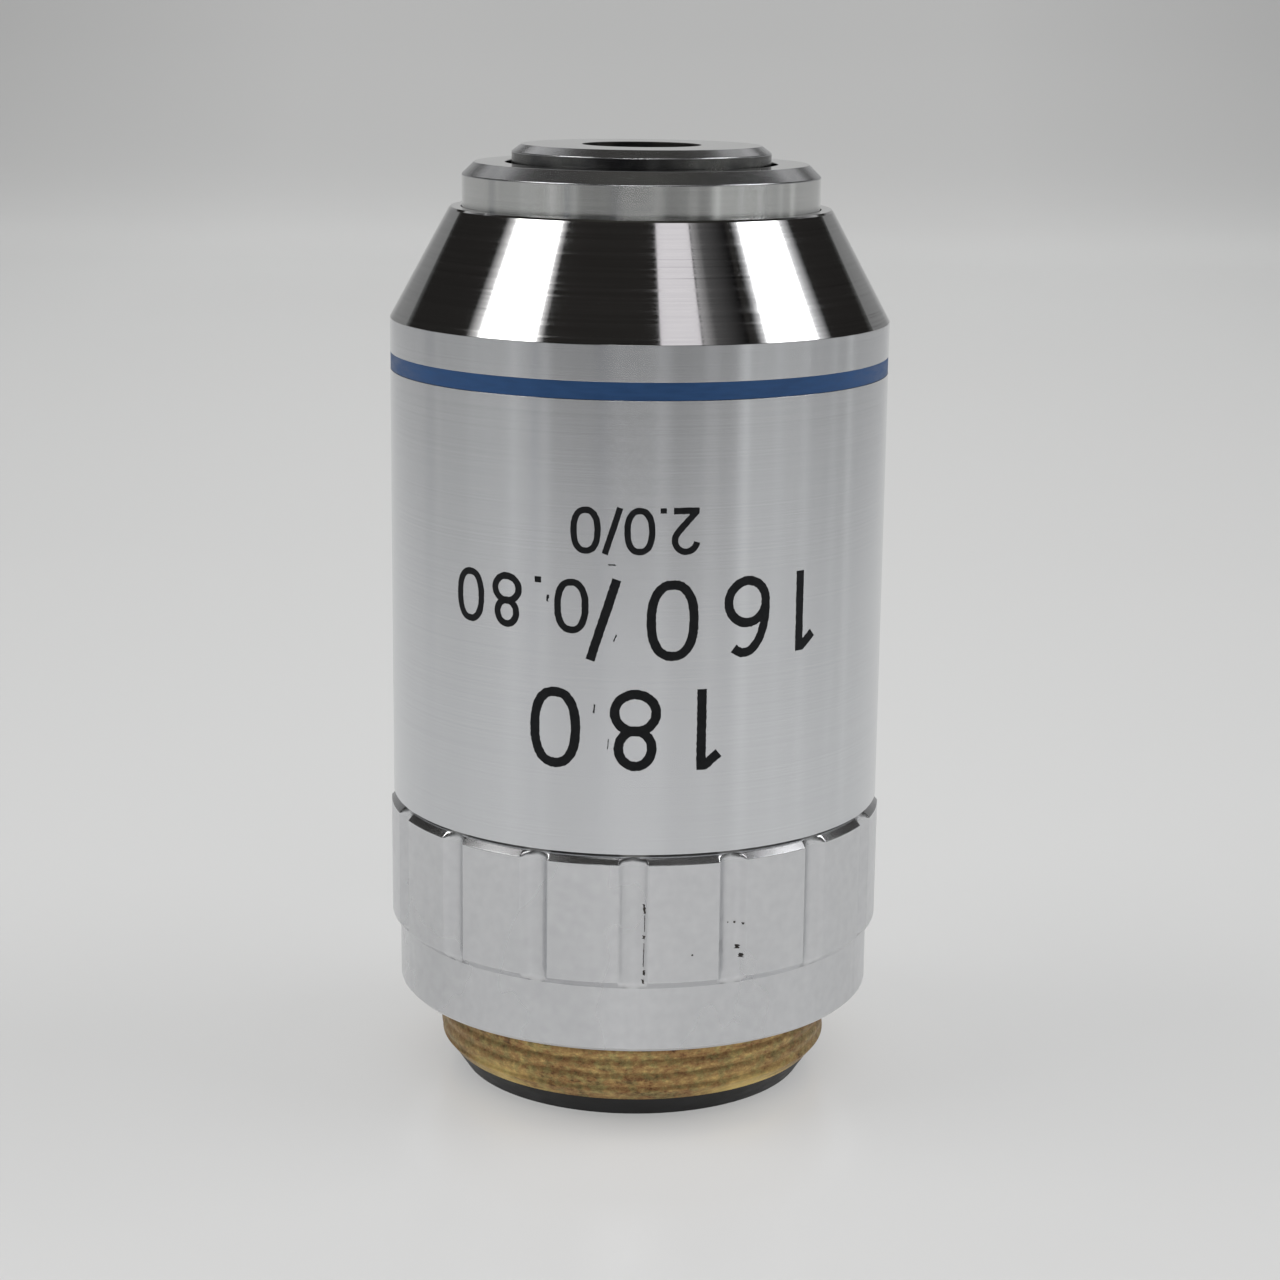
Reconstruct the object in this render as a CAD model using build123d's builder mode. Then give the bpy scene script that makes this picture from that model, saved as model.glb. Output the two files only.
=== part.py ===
from build123d import *

import os
from math import copysign, sqrt

# Microscope objective with a spring-loaded nose, standing nose up on its mounting thread.
# Millimetres. The origin is the centre of the shoulder face that seats on the nosepiece,
# and +Z runs along the optical axis towards the specimen.

# Mounting thread: the 0.8 inch objective thread, over its crests
thread_diameter = 20.2
thread_length = 3.5
thread_end_chamfer = 0.3
thread_wall = 1.9

# Rear stop ring, blackened, screwed into the end of the thread
stop_setback = 0.5
stop_flange = 1.05
stop_neck = 2.0
stop_taper = 0.7
stop_wall = 1.0
spanner_slot_width = 1.2
spanner_slot_depth = 0.45

# Grip ring: the shoulder and a plain rim below, fluted lands above
shoulder_width = 2.1
ring_height = 10.0
ring_lip = 1.0
rim_height = 3.3
rim_edge = 0.2
rim_setback = 0.3
land_rise = 0.125
land_chamfer = 0.35
flute_count = 16
flute_radius = 0.85
flute_floor = 0.04

# Mount tube above the shoulder
pilot_step = 0.6
tube_length = 19.0
tube_wall = 1.8

# Outer sleeve with its conical front
sleeve_straight = 24.5
sleeve_wall = 1.4
sleeve_edge = 0.13
cone_height = 5.45
cone_rim = 0.6
cone_edge = 0.1
nose_guide = 3.4
chamber_wall = 2.0
chamber_gap = 0.3

# Colour band: enamel in a turned groove
band_setback = 1.7
band_width = 0.85
band_depth = 0.12
band_recess = 0.02

# Sliding lens barrel, whose front end is the bright ring inside the cone
nose_travel = 2.0
nose_ring_wall = 1.23
nose_ring_exposed = 2.17
nose_ring_bevel = 0.62
nose_ring_bevel_height = 0.6
barrel_wall = 1.55
barrel_front_lip = 1.2
barrel_rear_recess = 0.4
barrel_rear_room = 0.5
flange_thickness = 1.6
flange_clearance = 0.2
shim_thickness = 0.3

# Return spring of flat wire round the lens barrel
spring_wire_width = 0.6
spring_wire_height = 0.8
spring_turns = 5

# Guide screw that keeps the nose from turning
guide_rise = 5.0
guide_screw_diameter = 1.6
guide_screw_setback = 0.15
guide_tip_diameter = 1.2
guide_slot_depth = 0.9
guide_tip_clearance = 0.15
screwdriver_slot_width = 0.3
screwdriver_slot_depth = 0.4

# Front cell: the stepped tip with the front aperture
tip_seat = 1.22
tip_step = 0.88
tip_gap = 0.33
tip_bevel = 0.5
tip_bevel_height = 0.36
tip_face = 0.6
tip_face_overlap = 0.7

# Cells, spacers and lock ring inside the lens barrel
cell_lip = 0.6
cell_lip_overlap = 0.5
cell_margin = 0.3
spacer_wall = 1.4
front_spacer = 0.8
middle_spacer = 0.8
rear_spacer = 1.0
lock_ring_height = 1.5
lock_ring_wall = 3.16

# Glass, from the front. A half is a half diameter and an edge is the thickness at the rim.
# A sag is how far a surface's middle lies in front of its rim, or behind it where negative.
front_half = 3.6
front_rear_sag = -1.95
front_edge = 1.05
meniscus_half = 4.7
meniscus_front_sag = -1.33
meniscus_rear_sag = -2.16
meniscus_edge = 1.77
doublet_half = 5.4
doublet_front_sag = 0.67
doublet_cement_sag = -2.3
doublet_rear_sag = -1.0
doublet_crown_edge = 0.43
doublet_flint_edge = 2.59
triplet_half = 5.0
triplet_outer_sag = 0.86
triplet_cement_sag = 1.34
triplet_crown_edge = 0.4
triplet_flint_edge = 3.78
inner_gauss_half = 3.6
inner_gauss_front_sag = 0.92
inner_gauss_cement_sag = -0.22
inner_gauss_rear_sag = 1.62
inner_gauss_crown_edge = 1.26
inner_gauss_flint_edge = 3.04
outer_gauss_half = 3.4
outer_gauss_front_sag = -1.5
outer_gauss_cement_sag = 0.23
outer_gauss_rear_sag = -0.88
outer_gauss_flint_edge = 2.93
outer_gauss_crown_edge = 1.09

# Fits: screwed and pushed pieces, and the sliding nose
seat_clearance = 0.02
slide_clearance = 0.05


def height_above_rim(sag, half, at):
    """Height of a spherical surface over its rim plane, at a distance from the axis."""
    if sag == 0:
        return 0.0
    radius = (half**2 + sag**2) / (2 * abs(sag))
    return copysign(sqrt(radius**2 - at**2) - sqrt(radius**2 - half**2), sag)


class LensGroup:
    """Glass cemented into one cell: half diameter, surface sags and edge thicknesses from the front."""

    def __init__(self, half, sags, edges):
        self.half = half
        self.sags = sags
        self.edges = edges

    def clear(self):
        """Radius of the opening in the lip that the glass rests on."""
        return self.half - cell_lip_overlap

    def rise(self):
        """Height of the seat above the front rim."""
        return max(0.0, height_above_rim(self.sags[0], self.half, self.clear()))

    def depth(self):
        """Distance from the seat down to the lowest point of the glass."""
        return self.rise() + sum(self.edges) + max(0.0, -self.sags[-1])

    def cell_height(self):
        return cell_lip + self.depth() + cell_margin


front_group = LensGroup(front_half, (0, front_rear_sag), (front_edge,))
meniscus_group = LensGroup(meniscus_half, (meniscus_front_sag, meniscus_rear_sag), (meniscus_edge,))
doublet_group = LensGroup(
    doublet_half,
    (doublet_front_sag, doublet_cement_sag, doublet_rear_sag),
    (doublet_crown_edge, doublet_flint_edge),
)
triplet_group = LensGroup(
    triplet_half,
    (triplet_outer_sag, -triplet_cement_sag, triplet_cement_sag, -triplet_outer_sag),
    (triplet_crown_edge, triplet_flint_edge, triplet_crown_edge),
)
inner_gauss_group = LensGroup(
    inner_gauss_half,
    (inner_gauss_front_sag, inner_gauss_cement_sag, inner_gauss_rear_sag),
    (inner_gauss_crown_edge, inner_gauss_flint_edge),
)
outer_gauss_group = LensGroup(
    outer_gauss_half,
    (outer_gauss_front_sag, outer_gauss_cement_sag, outer_gauss_rear_sag),
    (outer_gauss_flint_edge, outer_gauss_crown_edge),
)

# Radii: out from the thread to the body, then in through the walls to the cells
thread_radius = thread_diameter / 2
rim_radius = thread_radius + shoulder_width
body_radius = rim_radius + rim_setback
land_radius = body_radius + land_rise
pilot_radius = thread_radius + pilot_step
rear_bore = thread_radius - thread_wall
stop_radius = thread_radius - stop_setback
stop_bore = rear_bore - stop_wall
sleeve_bore = body_radius - sleeve_wall
chamber_bore = body_radius - chamber_wall
tube_radius = sleeve_bore - seat_clearance
guide_bore = tube_radius - tube_wall
barrel_radius = guide_bore - slide_clearance
cell_bore = barrel_radius - barrel_wall
cell_radius = cell_bore - seat_clearance
flange_radius = chamber_bore - flange_clearance
nose_ring_radius = cell_bore + nose_ring_wall
nose_bore = nose_ring_radius + slide_clearance
cone_top_radius = nose_bore + cone_rim
tip_radius = cell_radius - tip_seat
tip_bore = front_half - tip_face_overlap

# Heights from the shoulder face up
guide_height = ring_height + guide_rise
tube_top = ring_lip + tube_length
cone_base = ring_height + sleeve_straight
cone_top = cone_base + cone_height
sleeve_stop = cone_top - nose_guide
flange_top = sleeve_stop - shim_thickness
flange_bottom = flange_top - flange_thickness
nose_ring_top = cone_top + nose_ring_exposed
tip_top = nose_ring_top + tip_step
front_seat = nose_ring_top - barrel_front_lip
front_glass = tip_top - tip_face
front_cell_bottom = front_glass - front_group.depth() - cell_margin
meniscus_cell_bottom = front_cell_bottom - meniscus_group.cell_height()
doublet_cell_top = meniscus_cell_bottom - front_spacer
doublet_cell_bottom = doublet_cell_top - doublet_group.cell_height()
triplet_cell_top = doublet_cell_bottom - middle_spacer
triplet_cell_bottom = triplet_cell_top - triplet_group.cell_height()
inner_gauss_top = triplet_cell_bottom - rear_spacer
outer_gauss_top = inner_gauss_top - inner_gauss_group.cell_height()
outer_gauss_bottom = outer_gauss_top - outer_gauss_group.cell_height()
lock_ring_bottom = outer_gauss_bottom - lock_ring_height
barrel_bottom = lock_ring_bottom - barrel_rear_recess
bore_step = barrel_bottom - nose_travel - barrel_rear_room
stop_bottom = -thread_length - stop_flange

os.makedirs("parts", exist_ok=True)


def save(piece, label):
    """Names a finished piece and writes its file."""
    piece.part.label = label
    export_step(piece.part, f"parts/{label}.step")


def turn(*points):
    """Revolves a closed outline of (radius, height) points about the optical axis."""
    with BuildSketch(Plane.XZ) as section:
        with BuildLine():
            Polyline(*points, close=True)
        make_face()
    revolve(section.sketch, axis=Axis.Z)


def cut_spanner_slots(half_length, face):
    """Cuts one straight slot across a ring's rear face, so that a spanner finds a notch on each side."""
    with BuildSketch(Plane.XY.offset(face)) as slot:
        Rectangle(2 * half_length, spanner_slot_width)
    extrude(slot.sketch, amount=spanner_slot_depth, mode=Mode.SUBTRACT)


# Mount tube: brass, with the thread below the shoulder and the nose guide above it
with BuildPart() as mount_tube:
    turn(
        (rear_bore, -thread_length),
        (thread_radius - thread_end_chamfer, -thread_length),
        (thread_radius, thread_end_chamfer - thread_length),
        (thread_radius, 0),
        (pilot_radius, 0),
        (pilot_radius, ring_lip),
        (tube_radius, ring_lip),
        (tube_radius, tube_top),
        (guide_bore, tube_top),
        (guide_bore, bore_step),
        (rear_bore, bore_step),
    )
    with BuildSketch(Plane.YZ):
        with Locations((0, guide_height)):
            Circle(guide_screw_diameter / 2 + seat_clearance)
    extrude(amount=body_radius, mode=Mode.SUBTRACT)
save(mount_tube, "mount_tube")

# Rear stop ring: its tapered flange is the foot that the objective stands on
with BuildPart() as rear_stop_ring:
    stop_neck_radius = rear_bore - seat_clearance
    stop_neck_top = stop_neck - thread_length
    turn(
        (stop_bore, stop_bottom),
        (stop_radius - stop_taper, stop_bottom),
        (stop_radius, -thread_length),
        (stop_neck_radius, -thread_length),
        (stop_neck_radius, stop_neck_top),
        (stop_bore, stop_neck_top),
    )
    cut_spanner_slots(stop_radius, stop_bottom)
save(rear_stop_ring, "rear_stop_ring")

# Grip ring: the shoulder face below, round-bottomed flutes milled through the lands above the rim
with BuildPart() as grip_ring:
    ring_lip_bore = pilot_radius + seat_clearance
    ring_bore = tube_radius + seat_clearance
    land_bottom = rim_height + land_radius - rim_radius
    turn(
        (ring_lip_bore, 0),
        (rim_radius - rim_edge, 0),
        (rim_radius, rim_edge),
        (rim_radius, rim_height),
        (land_radius, land_bottom),
        (land_radius, ring_height - land_chamfer),
        (land_radius - land_chamfer, ring_height),
        (ring_bore, ring_height),
        (ring_bore, ring_lip),
        (ring_lip_bore, ring_lip),
    )
    with BuildSketch(Plane.XY.offset(rim_height)):
        with PolarLocations(rim_radius + flute_floor + flute_radius, flute_count, start_angle=-90):
            Circle(flute_radius)
    extrude(amount=ring_height - rim_height, mode=Mode.SUBTRACT)
save(grip_ring, "grip_ring")

# Outer sleeve: one turned piece from the grip ring to the top of the cone
with BuildPart() as outer_sleeve:
    band_top = cone_base - band_setback
    band_bottom = band_top - band_width
    band_floor = body_radius - band_depth
    chamber_bottom = tube_top + chamber_gap
    turn(
        (sleeve_bore, ring_height),
        (body_radius - sleeve_edge, ring_height),
        (body_radius, ring_height + sleeve_edge),
        (body_radius, band_bottom),
        (band_floor, band_bottom),
        (band_floor, band_top),
        (body_radius, band_top),
        (body_radius, cone_base),
        (cone_top_radius, cone_top - cone_edge),
        (cone_top_radius - cone_edge, cone_top),
        (nose_bore, cone_top),
        (nose_bore, sleeve_stop),
        (chamber_bore, sleeve_stop),
        (chamber_bore, chamber_bottom),
        (sleeve_bore, chamber_bottom),
    )
save(outer_sleeve, "outer_sleeve")

# Colour band: enamel that fills the groove and stands just below the metal
with BuildPart() as color_band:
    turn(
        (band_floor, band_bottom),
        (body_radius - band_recess, band_bottom),
        (body_radius - band_recess, band_top),
        (band_floor, band_top),
    )
save(color_band, "color_band")

# Parfocal shim: the washer against which the spring holds the lens barrel
with BuildPart() as parfocal_shim:
    turn(
        (nose_bore, flange_top),
        (flange_radius, flange_top),
        (flange_radius, sleeve_stop),
        (nose_bore, sleeve_stop),
    )
save(parfocal_shim, "parfocal_shim")

# Return spring: a coil with ends ground flat, between the mount tube and the barrel's flange
with BuildPart() as return_spring:
    spring_length = flange_bottom - tube_top
    spring_radius = (barrel_radius + chamber_bore) / 2
    with BuildLine():
        coil = Helix(spring_length / spring_turns, spring_length, spring_radius, center=(0, 0, tube_top))
    with BuildSketch(Plane(origin=coil @ 0, x_dir=(1, 0, 0), z_dir=coil % 0)):
        Rectangle(spring_wire_width, spring_wire_height)
    sweep(path=coil, is_frenet=True)
    split(bisect_by=Plane.XY.offset(tube_top), keep=Keep.TOP)
    split(bisect_by=Plane.XY.offset(flange_bottom), keep=Keep.BOTTOM)
save(return_spring, "return_spring")

# Guide screw: a grub screw in the mount tube, whose tip runs in a slot of the lens barrel
with BuildPart() as guide_screw:
    guide_slot_floor = barrel_radius - guide_slot_depth
    guide_screw_end = tube_radius - guide_screw_setback
    with BuildSketch(Plane.YZ.offset(guide_slot_floor + guide_tip_clearance)):
        with Locations((0, guide_height)):
            Circle(guide_tip_diameter / 2)
    extrude(amount=guide_screw_end - guide_slot_floor - guide_tip_clearance)
    with BuildSketch(Plane.YZ.offset(guide_bore)):
        with Locations((0, guide_height)):
            Circle(guide_screw_diameter / 2)
    extrude(amount=guide_screw_end - guide_bore)
    with BuildSketch(Plane.YZ.offset(guide_screw_end)):
        with Locations((0, guide_height)):
            Rectangle(guide_screw_diameter, screwdriver_slot_width)
    extrude(amount=-screwdriver_slot_depth, mode=Mode.SUBTRACT)
save(guide_screw, "guide_screw")

# Lens barrel: slides in the mount tube and the cone, with a flange for the spring and the stop
with BuildPart() as lens_barrel:
    tip_hole = tip_radius + tip_gap
    guide_slot_length = nose_travel + guide_tip_diameter + 2 * slide_clearance
    turn(
        (cell_bore, barrel_bottom),
        (barrel_radius, barrel_bottom),
        (barrel_radius, flange_bottom),
        (flange_radius, flange_bottom),
        (flange_radius, flange_top),
        (nose_ring_radius, flange_top),
        (nose_ring_radius, nose_ring_top - nose_ring_bevel_height),
        (nose_ring_radius - nose_ring_bevel, nose_ring_top),
        (tip_hole, nose_ring_top),
        (tip_hole, front_seat),
        (cell_bore, front_seat),
    )
    with BuildSketch(Plane.YZ.offset(guide_slot_floor)):
        with Locations((0, guide_height + nose_travel / 2)):
            SlotOverall(guide_slot_length, guide_tip_diameter + 2 * slide_clearance, rotation=90)
    extrude(amount=guide_slot_depth * 2, mode=Mode.SUBTRACT)
save(lens_barrel, "lens_barrel")

# Front cell: its tip stands out of the lens barrel, and the front lens lies just behind its face
with BuildPart() as front_cell:
    front_lens_bore = front_group.half + seat_clearance
    turn(
        (tip_bore, tip_top),
        (tip_bore, front_glass),
        (front_lens_bore, front_glass),
        (front_lens_bore, front_cell_bottom),
        (cell_radius, front_cell_bottom),
        (cell_radius, front_seat),
        (tip_radius, front_seat),
        (tip_radius, tip_top - tip_bevel_height),
        (tip_radius - tip_bevel, tip_top),
    )
save(front_cell, "front_cell")


def make_cell(label, group, top):
    """A turned cell: the glass lies against the lip at its front."""
    seat = top - cell_lip
    bottom = top - group.cell_height()
    bore = group.half + seat_clearance
    with BuildPart() as cell:
        turn(
            (group.clear(), top),
            (cell_radius, top),
            (cell_radius, bottom),
            (bore, bottom),
            (bore, seat),
            (group.clear(), seat),
        )
    save(cell, label)


make_cell("meniscus_cell", meniscus_group, front_cell_bottom)
make_cell("doublet_cell", doublet_group, doublet_cell_top)
make_cell("triplet_cell", triplet_group, triplet_cell_top)
make_cell("inner_gauss_cell", inner_gauss_group, inner_gauss_top)
make_cell("outer_gauss_cell", outer_gauss_group, outer_gauss_top)


def make_spacer(label, top, height):
    """A plain ring that sets the distance between two cells."""
    with BuildPart() as spacer:
        turn(
            (cell_radius - spacer_wall, top - height),
            (cell_radius, top - height),
            (cell_radius, top),
            (cell_radius - spacer_wall, top),
        )
    save(spacer, label)


make_spacer("front_spacer", meniscus_cell_bottom, front_spacer)
make_spacer("middle_spacer", doublet_cell_bottom, middle_spacer)
make_spacer("rear_spacer", triplet_cell_bottom, rear_spacer)

# Lock ring: clamps the stack of cells from behind
with BuildPart() as cell_lock_ring:
    lock_ring_bore = cell_radius - lock_ring_wall
    turn(
        (lock_ring_bore, lock_ring_bottom),
        (cell_radius, lock_ring_bottom),
        (cell_radius, outer_gauss_bottom),
        (lock_ring_bore, outer_gauss_bottom),
    )
    cut_spanner_slots(cell_radius, lock_ring_bottom)
save(cell_lock_ring, "cell_lock_ring")


def draw_surface(sag, rim, half):
    """One side of a lens in section, from its middle on the axis to its rim, with the rim's height given."""
    middle = (0, rim + sag)
    edge = (half, rim)
    if sag == 0:
        Line(middle, edge)
    else:
        ThreePointArc(middle, (half / 2, rim + height_above_rim(sag, half, half / 2)), edge)


def make_lenses(labels, group, seat):
    """The glass of one group, front to rear: neighbours share their cemented surface."""
    front_rim = seat - group.rise()
    for label, front_sag, rear_sag, edge in zip(labels, group.sags, group.sags[1:], group.edges):
        rear_rim = front_rim - edge
        with BuildPart() as lens:
            with BuildSketch(Plane.XZ):
                with BuildLine():
                    draw_surface(front_sag, front_rim, group.half)
                    Line((group.half, front_rim), (group.half, rear_rim))
                    draw_surface(rear_sag, rear_rim, group.half)
                    Line((0, rear_rim + rear_sag), (0, front_rim + front_sag))
                make_face()
            revolve(axis=Axis.Z)
        save(lens, label)
        front_rim = rear_rim


make_lenses(["front_lens"], front_group, front_glass)
make_lenses(["meniscus_lens"], meniscus_group, front_cell_bottom - cell_lip)
make_lenses(["doublet_crown", "doublet_flint"], doublet_group, doublet_cell_top - cell_lip)
make_lenses(["triplet_front", "triplet_middle", "triplet_rear"], triplet_group, triplet_cell_top - cell_lip)
make_lenses(["inner_gauss_crown", "inner_gauss_flint"], inner_gauss_group, inner_gauss_top - cell_lip)
make_lenses(["outer_gauss_flint", "outer_gauss_crown"], outer_gauss_group, outer_gauss_top - cell_lip)
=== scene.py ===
"""Looks, floor, light and camera for the microscope objective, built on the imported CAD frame."""

import math
import random

import bmesh
import bpy
import numpy as np
from mathutils import Matrix, Quaternion, Vector


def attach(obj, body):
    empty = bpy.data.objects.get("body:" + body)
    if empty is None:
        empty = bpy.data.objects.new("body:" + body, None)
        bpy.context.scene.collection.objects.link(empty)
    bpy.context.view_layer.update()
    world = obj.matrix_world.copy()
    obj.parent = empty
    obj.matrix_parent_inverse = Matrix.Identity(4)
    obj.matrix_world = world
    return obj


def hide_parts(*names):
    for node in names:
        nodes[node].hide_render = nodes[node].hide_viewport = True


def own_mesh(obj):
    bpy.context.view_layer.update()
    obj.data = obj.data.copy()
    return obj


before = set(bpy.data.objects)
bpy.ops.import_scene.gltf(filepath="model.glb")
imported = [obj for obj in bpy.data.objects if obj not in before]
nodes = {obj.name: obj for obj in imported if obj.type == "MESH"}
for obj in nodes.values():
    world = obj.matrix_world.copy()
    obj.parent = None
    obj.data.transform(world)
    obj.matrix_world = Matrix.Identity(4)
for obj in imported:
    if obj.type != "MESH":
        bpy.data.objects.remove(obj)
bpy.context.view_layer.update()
MM = 0.001

# Sizes in millimetres, as in the part's source. Chamfers of two sizes are given as (inwards, along the axis).
THREAD_R = 10.1
THREAD_END = -3.5
THREAD_PITCH = 25.4 / 36
THREAD_DEPTH = 0.09
THREAD_BLEND = 0.06
THREAD_FOOT = (0.5, 0.6)
THREAD_RUN_OUT = -0.45
THREAD_RUN_OUT_LENGTH = 0.25
REAR_BORE = 8.2
RING_TOP = 10.0
RING_LIP = 1.0
RIM_R = 12.2
RIM_TOP = 3.3
RIM_CHAMFER = 0.2
LAND_R = 12.625
LAND_CHAMFER = 0.35
FLUTES = 16
FLUTE_R = 0.85
FLUTE_CENTRE = RIM_R + 0.04 + FLUTE_R
FLUTE_BLEND = 0.14
RING_BORE = 11.1
RING_LIP_BORE = 10.72
BODY_R = 12.5
BODY_FOOT = (0.13, 0.17)
SLEEVE_BORE = 11.1
CHAMBER_BORE = 10.5
CHAMBER_BOTTOM = 20.3
BAND_TOP = 32.8
BAND_BOTTOM = 31.95
BAND_FLOOR = 12.38
CONE_BASE = 34.5
CONE_TOP = 39.95
CONE_TOP_R = 9.56
CONE_EDGE = 0.1
SLEEVE_STOP = 36.55
NOSE_BORE = 8.96
FLANGE_BOTTOM = 34.65
FLANGE_MIDDLE = 35.45
FLANGE_TOP = 36.25
FLANGE_R = 10.3
CELL_BORE = 7.68
CELL_R = 7.66
NOSE_R = 8.91
NOSE_TOP = 42.12
NOSE_BEVEL = (0.62, 0.6)
TIP_HOLE = 6.77
TIP_R = 6.44
TIP_TOP = 43.0
TIP_BEVEL = (0.5, 0.36)
TIP_BORE = 2.9
FRONT_SEAT = 40.92
FRONT_GLASS = 42.4
FRONT_LENS_BORE = 3.62
FRONT_CELL_BOTTOM = 39.1
TUBE_TOP = 20.0
SPRING_R = 9.865
SPRING_WIRE = (0.6, 0.8)
SPRING_TURNS = 5
SPRING_EDGE = 0.12
SPRING_LENGTH = FLANGE_BOTTOM - TUBE_TOP
FOOT = -4.55


# Turned pieces


def add_object(name, data):
    thing = bpy.data.objects.new(name, data)
    bpy.context.collection.objects.link(thing)
    return thing


def round_outline(points, step):
    """Samples a closed anticlockwise outline of (radius, height, corner rounding, zone) points.

    Gives positions, unit tangents and the zone of the span that follows each sample.
    """
    count = len(points)
    corners = []
    for i, (r, z, rounding, zone) in enumerate(points):
        here = np.array([r, z])
        before = here - np.array(points[i - 1][:2])
        after = np.array(points[(i + 1) % count][:2]) - here
        before = before / np.linalg.norm(before)
        after = after / np.linalg.norm(after)
        turn = math.atan2(before[0] * after[1] - before[1] * after[0], before @ after)
        corners.append((here, before, after, turn, rounding, zone))
    places, tangents, zones = [], [], []
    for i, (here, before, after, turn, rounding, zone) in enumerate(corners):
        cut = rounding * math.tan(abs(turn) / 2)
        start = here - before * cut
        side = math.copysign(1.0, turn)
        centre = start + side * rounding * np.array([-before[1], before[0]])
        arcs = max(2, int(math.ceil(abs(turn) / math.radians(22))))
        for k in range(arcs + 1):
            angle = turn * k / arcs
            c, s = math.cos(angle), math.sin(angle)
            spin = np.array([[c, -s], [s, c]])
            places.append(centre + spin @ (start - centre))
            tangents.append(spin @ before)
            zones.append(zone)
        end = places[-1]
        following = corners[(i + 1) % count]
        stop = following[0] - following[1] * following[4] * math.tan(abs(following[3]) / 2)
        length = np.linalg.norm(stop - end)
        for k in range(1, int(length // step) + 1):
            if k * step < length - step * 0.25:
                places.append(end + after * k * step)
                tangents.append(after)
                zones.append(zone)
    return np.array(places), np.array(tangents), np.array(zones)


def lathe(name, outline, angles, materials, shape=None, step=100.0):
    """Turns an outline into a closed ring, with exact normals. shape(angle, r, z) may change the radius."""
    places, tangents, zones = round_outline(outline, step)
    angles = np.asarray(angles)

    def surface(turn, along):
        r = places[:, :1] + along * tangents[:, :1]
        z = places[:, 1:] + along * tangents[:, 1:]
        angle = angles[None, :] + turn
        radius = shape(angle, r, z) if shape else r + 0 * angle
        return np.stack([radius * np.cos(angle), radius * np.sin(angle), z + 0 * angle], axis=-1)

    small = 1e-3
    verts = surface(0, 0)
    across = surface(small / 10, 0) - surface(-small / 10, 0)
    along = surface(0, small) - surface(0, -small)
    normals = np.cross(across, along)
    normals /= np.linalg.norm(normals, axis=-1, keepdims=True)
    rows, columns = verts.shape[:2]
    i, j = np.meshgrid(np.arange(rows), np.arange(columns), indexing="ij")
    up, on = (i + 1) % rows, (j + 1) % columns
    faces = np.stack([i * columns + j, i * columns + on, up * columns + on, up * columns + j], axis=-1)
    mesh = bpy.data.meshes.new(name)
    mesh.from_pydata((verts.reshape(-1, 3) * MM).tolist(), [], faces.reshape(-1, 4).tolist())
    mesh.polygons.foreach_set("use_smooth", np.ones(rows * columns, dtype=bool))
    mesh.polygons.foreach_set("material_index", np.repeat(zones, columns).astype(np.int32))
    for material in materials:
        mesh.materials.append(material)
    mesh.update()
    mesh.normals_split_custom_set_from_vertices(normals.reshape(-1, 3).tolist())
    return add_object(name, mesh)


def even(columns):
    return np.arange(columns) * (2 * math.pi / columns)


def rest_of_node(node, cut, keep_above, name, material):
    """A copy of the part of a CAD node on one side of a level, closed at the cut."""
    edit = bmesh.new()
    edit.from_mesh(nodes[node].data)
    bmesh.ops.remove_doubles(edit, verts=edit.verts, dist=1e-7)
    everything = edit.verts[:] + edit.edges[:] + edit.faces[:]
    bmesh.ops.bisect_plane(
        edit, geom=everything, dist=1e-8, plane_co=(0, 0, cut * MM), plane_no=(0, 0, 1),
        clear_inner=keep_above, clear_outer=not keep_above,
    )
    mesh = bpy.data.meshes.new(name)
    edit.to_mesh(mesh)
    edit.free()
    mesh.polygons.foreach_set("use_smooth", np.ones(len(mesh.polygons), dtype=bool))
    mesh.polygons.foreach_set("material_index", np.zeros(len(mesh.polygons), dtype=np.int32))
    mesh.set_sharp_from_angle(angle=math.radians(25))
    mesh.materials.clear()
    mesh.materials.append(material)
    return add_object(name, mesh)


def soft_min(a, b, blend):
    """The lesser of two values, rounded over a small blend where they meet."""
    near = np.maximum(blend - np.abs(a - b), 0) / blend
    return np.minimum(a, b) - near * near * blend / 4


# Materials


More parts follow.
